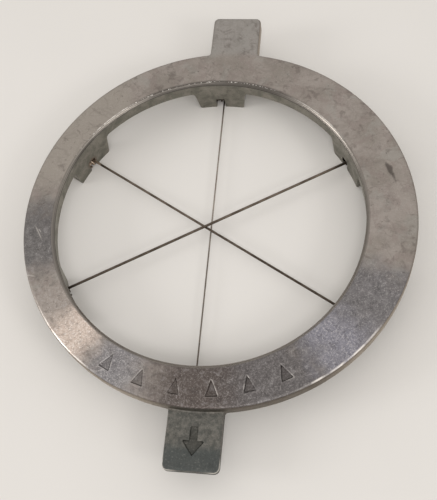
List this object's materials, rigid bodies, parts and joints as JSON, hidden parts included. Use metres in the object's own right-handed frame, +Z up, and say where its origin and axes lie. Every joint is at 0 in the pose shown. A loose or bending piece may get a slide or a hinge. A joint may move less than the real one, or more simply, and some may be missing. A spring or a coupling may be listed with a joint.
{
  "type": "egg wedger ring",
  "caption": "Flat cast ring with a front and a back tab, and tight steel wires that cross below its off-centre hole and are wound on pins in lugs; cuts an egg into wedges.",
  "frame": {"origin": "under the middle of the overall length and width, in the plane of the lugs' feet that the ring stands on; the rim's axis is 0.75 mm behind it", "axes": "+Z up out of the ground face, which the egg goes in from; -Y towards the front tab, the thin low one; +X to the right, on the broad side of the band"},
  "size_m": [0.1016, 0.128, 0.0117],
  "materials": {
    "casting": "cast light alloy, ground on top, stained and worn",
    "wire": "drawn steel wire, dulled and darkened",
    "pin": "plain steel, rust-stained"
  },
  "bodies": {
    "root": {"ring_frame": "casting", "upper_wire": "wire", "middle_wire": "wire", "lower_wire": "wire", "right_back_pin": "pin", "left_front_pin": "pin", "left_back_pin": "pin", "right_front_pin": "pin", "back_pin": "pin", "front_pin": "pin"}
  },
  "joints": []
}
